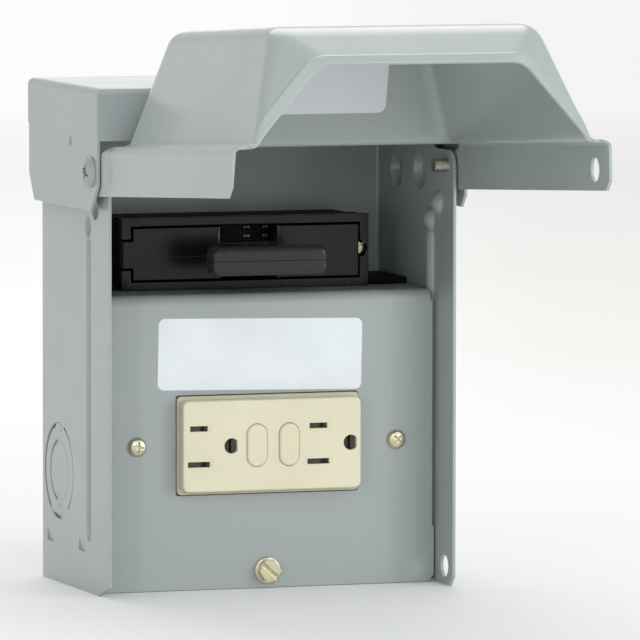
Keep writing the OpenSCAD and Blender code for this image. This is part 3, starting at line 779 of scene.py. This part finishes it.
def build_handle():
    for node, z0, z1 in (("handle_upper", 116.72, 140.0), ("handle_lower", 90.0, 116.68)):
        bm = combine(handle_solid(), [("INTERSECT", prism_bm(rect2(-70.0, 70.0, 0.0, 80.0), "z", z0, z1))])
        split = 116.72 if node == "handle_upper" else 116.68
        bevel_edges(bm, 0.00013, 1, 60, lambda e: all(abs(zof(v) - split) < 0.01 for v in e.verts) and e.calc_length() > 0.0003)
        finish_piece(bm, node, 35)
    bm = bmesh.new()
    for x in (2.9, 10.0):
        for z in (126.3, 123.1):
            for d in (-0.62, 0.62):
                if x + d > 10.5 or x + d < -8:
                    d -= 0.12
                bmesh.ops.create_uvsphere(bm, u_segments=12, v_segments=8, radius=0.00048, matrix=Matrix.Translation(P(x + d, 50.2, z)))
    ob = new_object("handle_moulding_pips", bm, M["black_plastic"], "handle", 60)
    ob.data.materials.clear()
    ob.data.materials.append(M["zinc_steel"])


def sector(ri, ro, a0, a1):
    n = max(4, int(abs(a1 - a0) / 5))
    return arc2(0, 0, ro, a0, a1, n) + arc2(0, 0, ri, a1, a0, n)


def prism_local(outline, w0, w1, matrix):
    """A closed prism in a local frame: the outline in local X and Y, from w0 to w1 along local Z, millimetres."""
    bm = bmesh.new()
    lo = [bm.verts.new((u / 1000.0, v / 1000.0, w0 / 1000.0)) for u, v in outline]
    hi = [bm.verts.new((u / 1000.0, v / 1000.0, w1 / 1000.0)) for u, v in outline]
    bm.faces.new(lo)
    bm.faces.new(hi[::-1])
    m = len(lo)
    for i in range(m):
        bm.faces.new((lo[i], hi[i], hi[(i + 1) % m], lo[(i + 1) % m]))
    bmesh.ops.transform(bm, matrix=matrix, verts=bm.verts)
    bmesh.ops.recalc_face_normals(bm, faces=bm.faces)
    return bm


def frame_matrix(origin, u, v, w):
    m = Matrix((u, v, w)).transposed().to_4x4()
    m.translation = origin
    return m


def join(bms):
    out = bmesh.new()
    for b in bms:
        me = bpy.data.meshes.new("t")
        b.to_mesh(me)
        b.free()
        out.from_mesh(me)
        bpy.data.meshes.remove(me)
    return out


def knockout_bm(r1, r2, matrix, seed):
    """One pair of knockouts pressed from the sheet: wide sheared grooves, broken by the ties that hold them."""
    disc = prism_local(arc2(0, 0, r1 - 0.06, 0, 356.25, 95), -1.45, -0.25, matrix)
    k = r1 / 17.25
    steps = [("DIFFERENCE", prism_local(sector(r1 - 1.15 * k, r1 + 1.0, a, b), -1.08, 1.0, matrix))
             for a, b in ((104 + seed, 234 + seed), (249 + seed, 274 + seed), (308 + seed, 432 + seed))]
    steps.append(("DIFFERENCE", prism_local(sector(r2 - 1.1 * k, r2 + 0.1, 98 + seed, 258 + seed), -1.05, 1.0, matrix)))
    steps.append(("DIFFERENCE", prism_local(sector(r2 - 0.35 * k, r2 + 0.0, 285 + seed, 440 + seed), -0.42, 1.0, matrix)))
    for az, r, ro in ((276, (r1 + r2) / 2, 2.5 * k), (83, r1 - 1.7, 1.35 * k)):
        c = (r * math.cos(math.radians(az + seed)), r * math.sin(math.radians(az + seed)))
        pts = [(x + c[0], y + c[1]) for x, y in arc2(0, 0, ro, 20, 330, 24) + arc2(0, 0, ro - 0.42, 330, 20, 24)]
        steps.append(("DIFFERENCE", prism_local(pts, -0.48, 1.0, matrix)))
    bm = combine(disc, steps)
    bevel_edges(bm, 0.0001, 1, 55, lambda e: e.calc_length() > 0.0003)
    return bm


def build_knockouts():
    Y, Z, X = Vector((0, -1, 0)), Vector((0, 0, 1)), Vector((1, 0, 0))
    parts = [knockout_bm(17.25, 11.1, frame_matrix(P(s * 64.6, 59.3, 40), Y, Z, X * s), 0.0) for s in (-1, 1)]
    parts.append(knockout_bm(14.05, 8.7, frame_matrix(P(0, 80.7, 34), -X, Z, -Y), 40.0))
    finish_piece(join(parts), "side_knockouts", 30)
    parts = [knockout_bm(17.25, 11.1, frame_matrix(P(x, 50, 0), X, Vector((0, -1, 0)), -Z), 90.0) for x in (-28, 28)]
    finish_piece(join(parts), "bottom_knockouts", 30)


def stadium2(w, h, cx, cy, n=12):
    r, d = w / 2, (h - w) / 2
    return arc2(cx, cy + d, r, 0, 180, n) + arc2(cx, cy - d, r, 180, 360, n)


def front_loop(bm, y, width, segments):
    bevel_edges(bm, width, segments, 60, lambda e: all(abs(yof(v) - y) < 0.02 for v in e.verts))


def build_receptacle():
    zc, fy = 51.6, 12.0
    face = prism_bm(rrect2(66.4, 32.4, 2.3, 0, zc, 6), "y", fy, 20.5)
    front_loop(face, fy, 0.0007, 3)
    rim = prism_bm(rrect2(67.5, 35.0, 1.3, 0, zc, 4), "y", 17.0, 20.5)
    front_loop(rim, 17.0, 0.0004, 2)
    hollow = combine(prism_bm(rrect2(65.0, 29.2, 0.6, 0, zc, 2), "y", 13.8, 24.0),
                     [("DIFFERENCE", prism_bm(stadium2(9.4, 17.4, x, zc), "y", 10.0, 21.5)) for x in (-5.8, 6.2)])
    steps = [("UNION", rim), ("DIFFERENCE", hollow)]
    steps += [("DIFFERENCE", prism_bm(stadium2(7.8, 15.6, x, zc), "y", 10.0, 24.1)) for x in (-5.8, 6.2)]
    dark = []
    for x in (-27.3, 17.2):
        for hw, z0, z1 in ((3.35, zc + 5.35, zc + 7.35), (4.15, zc - 7.35, zc - 5.35)):
            pad = prism_bm(rect2(x - hw - 0.95, x + hw + 0.95, z0 - 0.75, z1 + 0.75), "y", 11.0, fy + 0.14)
            steps.append(("DIFFERENCE", pad))
            steps.append(("DIFFERENCE", prism_bm(rect2(x - hw, x + hw, z0, z1), "y", 11.0, 14.5)))
            x0, x1 = x - hw, x + hw
            xm = x0 + 0.62 * (x1 - x0)
            dark.append(prism_bm([(x0 - 0.3, 15.8), (x0 - 0.3, 15.0), (x0 + 0.5, 14.7), (xm, 13.95), (x1 - 0.6, 15.2), (x1 + 0.3, 15.0), (x1 + 0.3, 15.8)], "z", z0 - 0.2, z1 + 0.2))
        xg = x + 12.1
        pts = [(xg + u, zc + v) for u, v in arc2(0, 0, 2.75, 38.7, 321.3, 32)]
        steps.append(("DIFFERENCE", prism_bm(pts, "y", 11.0, 14.5)))
        dark.append(prism_bm([(xg - 2.9, 17.0), (xg - 2.9, 16.4), (xg + 0.2, 16.2), (xg + 0.5, 14.1), (xg + 2.4, 13.85), (xg + 2.4, 17.0)], "z", zc - 2.9, zc + 2.9))
    bm = combine(face, steps)
    finish_piece(bm, "gfci_face", 30)
    ob = new_object("gfci_slot_shutters", join(dark), M["shutter"], body_of_node("gfci_face"), 20)
    for node, x in (("test_button", -5.8), ("reset_button", 6.2)):
        cad = [NODES[node].matrix_world @ v.co for v in NODES[node].data.vertices]
        y0 = min(v.y for v in cad) * 1000 + 82.7
        y1 = max(v.y for v in cad) * 1000 + 82.7
        b = prism_bm(stadium2(7.45, 15.25, x, zc, 14), "y", y0, 19.6)
        front_loop(b, y0, 0.0009, 4)
        stem = prism_bm(arc2(x, zc, 1.8, 0, 345, 23), "y", 19.0, y1)
        finish_piece(combine(b, [("UNION", stem)]), node, 40)


def build_lid_label():
    lid = Matrix.Translation((0, (7.0 - 82.7) / 1000.0, (149.9 - 101.0) / 1000.0)) @ Matrix.Rotation(-TILT, 4, "X")
    place = lid @ Matrix.Translation((0, -(18.949 + 1.2 / math.cos(math.radians(16.8)) + 0.01) / 1000.0, 0.0284)) @ Matrix.Rotation(math.radians(16.8), 4, "X")
    flat = place @ frame_matrix(Vector((0, 0, 0)), Vector((1, 0, 0)), Vector((0, 0, 1)), Vector((0, -1, 0)))
    bm = prism_local(rrect2(70.5, 19.8, 3.0, -0.75, 0.0, 6), 0.0, 0.12, flat)
    bevel_edges(bm, 0.00003, 1, 60)
    finish_piece(bm, "lid_label")


def build_hinge_screws():
    heads, threads = [], []
    for s in (-1, 1):
        m = frame_matrix(P(s * 68.8, 7.0, 149.9), Vector((0, 1, 0)), Vector((0, 0, 1)), Vector((s, 0, 0)))
        prof = [(0, 2.55)] + [(5.35 * math.sin(a), 0.35 + 2.2 * math.cos(a)) for a in [math.radians(d) for d in range(6, 91, 7)]]
        prof += [(5.42, 0.15), (5.40, 0.0), (2.4, 0.0), (2.4, -5.2), (0, -5.2)]
        head = placed(lathe_bm(prof, 72), m)
        steps = []
        for ang in (22, 112):
            r = m @ Matrix.Rotation(math.radians(ang), 4, "Z")
            steps.append(("DIFFERENCE", box_local(-3.3, 3.3, -0.62, 0.62, 1.35, 4.0, r)))
            steps.append(("DIFFERENCE", box_local(-1.7, 1.7, -1.05, 1.05, 1.6, 4.0, r)))
        bm = combine(head, steps)
        bevel_edges(bm, 0.00022, 2, 40, lambda e: e.calc_length() > 0.0004)
        inv = m.inverted()
        for v in bm.verts:
            q = inv @ v.co
            rr = math.hypot(q.x, q.y)
            if q.z > 0.0003:
                g = noise3(q * 520.0) * 0.00022 + noise3(q * 1400.0) * 0.00009
                v.co = m @ (q + Vector((q.x / max(rr, 1e-6), q.y / max(rr, 1e-6), 0)) * g * min(1, rr / 0.003) + Vector((0, 0, g * 0.7)))
        heads.append(bm)
        prof = [(0, -5.25), (2.4, -5.25)]
        for i in range(7):
            z = -5.35 - 0.74 * i
            prof += [(2.42, z), (2.0, z - 0.34), (2.42, z - 0.70)]
        prof += [(1.6, -10.7), (0, -10.8)]
        threads.append(placed(lathe_bm(prof, 48), m))
    finish_piece(join(heads), "hinge_screws", 50)
    ob = new_object("hinge_screw_threads", join(threads), M["thread_steel"], body_of_node("hinge_screws"), 20)


# ---------------------------------------------------------------- pieces

SLOT = {r["node"]: r["material_slot"] for r in frame["record"]["subparts"]}
BEVEL = {
    "enclosure_wrap": 0.22, "bottom_plate": 0.2, "top_cap": 0.25, "side_knockouts": 0.12, "bottom_knockouts": 0.12,
    "hinge_screws": 0.15, "lid": 0.25, "lid_label": 0.03, "dead_front": 0.22, "dead_front_label": 0.05,
    "dead_front_screw": 0.2, "cover_screws": 0.15, "gfci_face": 0.3, "gfci_body": 0.3, "gfci_strap": 0.15,
    "test_button": 0.35, "reset_button": 0.35, "pullout_base": 0.3, "handle_upper": 0.45, "handle_lower": 0.45,
}
CUSTOM = {"lid", "handle_upper", "handle_lower", "side_knockouts", "bottom_knockouts", "gfci_face", "test_button",
          "reset_button", "lid_label", "hinge_screws"}
build_lid()
build_handle()
build_knockouts()
build_receptacle()
build_lid_label()
build_hinge_screws()


def long_edge(e):
    return e.calc_length() > 0.0006


for node in NODES:
    mat = M[SLOT[node]]
    if node in CUSTOM:
        continue
    if node in BEVEL:
        refine(node, BEVEL[node], mat, keep=long_edge if node == "pullout_base" else None)
    else:
        NODES[node].data.materials.clear()
        NODES[node].data.materials.append(mat)

# ---------------------------------------------------------------- floor, light, camera

def floor():
    me = bpy.data.meshes.new("floor")
    s = 20.0
    z = P(0, 0, 0).z
    me.from_pydata([(-s, -s, z), (s, -s, z), (s, s, z), (-s, s, z)], [], [(0, 1, 2, 3)])
    ob = bpy.data.objects.new("floor", me)
    COLL.objects.link(ob)
    n = Net("floor_paper")
    v = n.noise(3.0, 3, 0.5)
    d = n.node("ShaderNodeVectorMath", operation="LENGTH")
    n.link(n.co, d.inputs[0])
    # painted light: the floor glows more with distance from the part, so the far floor reads near white
    glow = n.rng(d.outputs["Value"], 1.5, 3.1, 0.050, 0.40)
    side = n.node("ShaderNodeVectorMath", operation="DOT_PRODUCT")
    side.inputs[1].default_value = (0.946, -0.325, 0.0)
    n.link(n.co, side.inputs[0])
    # painted shade: far off to the right the floor is painted darker and its glow turned down a little
    far_right_shade = n.math("MULTIPLY", n.rng(side.outputs["Value"], -0.02, 0.16, 0, 1), n.rng(d.outputs["Value"], 0.5, 1.0, 0, 1))
    paper = n.mix(v, (0.86, 0.86, 0.855), (0.88, 0.88, 0.875))
    m = n.set(color=n.mix(far_right_shade, paper, (0.79, 0.79, 0.775)), rough=0.8, spec=0.03)
    n.b.inputs["Emission Color"].default_value = (1, 1, 1, 1)
    n.link(n.math("MULTIPLY", glow, n.rng(side.outputs["Value"], -0.02, 0.20, 1.0, 0.95)), n.b.inputs["Emission Strength"])
    me.materials.append(m)


def area(name, loc, target, size, power, color=(1, 1, 1), size_y=None):
    li = bpy.data.lights.new(name, "AREA")
    li.energy = power
    li.color = color
    li.shape = "RECTANGLE"
    li.size = size
    li.size_y = size_y or size
    ob = bpy.data.objects.new(name, li)
    COLL.objects.link(ob)
    ob.location = loc
    ob.rotation_mode = "QUATERNION"
    ob.rotation_quaternion = (Vector(target) - Vector(loc)).to_track_quat("-Z", "Y")
    return ob


floor()
world = bpy.data.worlds.new("studio")
bpy.context.scene.world = world
world.use_nodes = True
bg = world.node_tree.nodes["Background"]
bg.inputs[0].default_value = (0.98, 0.985, 1.0, 1)
bg.inputs[1].default_value = 0.63

area("key", (-1.2, -1.5, 1.7), (0, 0, 0), 1.2, 4.0, (0.97, 0.97, 1.0))
area("strip_left", (-1.36, -1.50, 0.26), (0, 0, 0.03), 0.14, 2.9, (0.98, 1.0, 1.0), 0.7)
area("strip_right", (1.50, -1.70, 0.26), (0, 0, 0.03), 0.14, 4.2, (1.0, 1.0, 0.98), 0.7)
area("fill", (1.5, -2.0, 0.5), (0, 0, 0), 1.2, 9.4, (1.0, 0.985, 0.96))
area("front", (-0.35, -2.6, 0.9), (0, 0, 0), 1.0, 9.8, (0.86, 1.0, 0.97))
area("top", (0.9, -1.2, 1.4), (0, 0, 0.05), 1.2, 5.5, (0.95, 1.0, 0.98))
area("card", (2.2, 9.0, 0.98), (0, 0, 0.1), 9.0, 33.0, (1, 1, 1), 1.0)
area("back", (0.2, 1.3, 1.5), (0, 0, 0), 1.4, 14.5, (1.0, 0.985, 0.93))

cam_data = bpy.data.cameras.new("camera")
cam = bpy.data.objects.new("camera", cam_data)
COLL.objects.link(cam)
yaw, pitch, roll = math.radians(18.94), math.radians(4.60), math.radians(0.07)
fwd = Vector((math.sin(yaw) * math.cos(pitch), math.cos(yaw) * math.cos(pitch), -math.sin(pitch)))
right = Vector((math.cos(yaw), -math.sin(yaw), 0.0))
up = right.cross(fwd)
r2 = right * math.cos(roll) + up * math.sin(roll)
u2 = up * math.cos(roll) - right * math.sin(roll)
rot = Matrix((r2, u2, -fwd)).transposed().to_4x4()
cam.matrix_world = Matrix.Translation(Vector((-0.928744, -2.828610, 0.229023))) @ rot
cam_data.lens = 464.74
cam_data.sensor_width = 36.0
cam_data.sensor_fit = "HORIZONTAL"
cam_data.clip_start = 0.05
cam_data.clip_end = 60.0
bpy.context.scene.camera = cam

bpy.context.scene.view_settings.view_transform = "Standard"
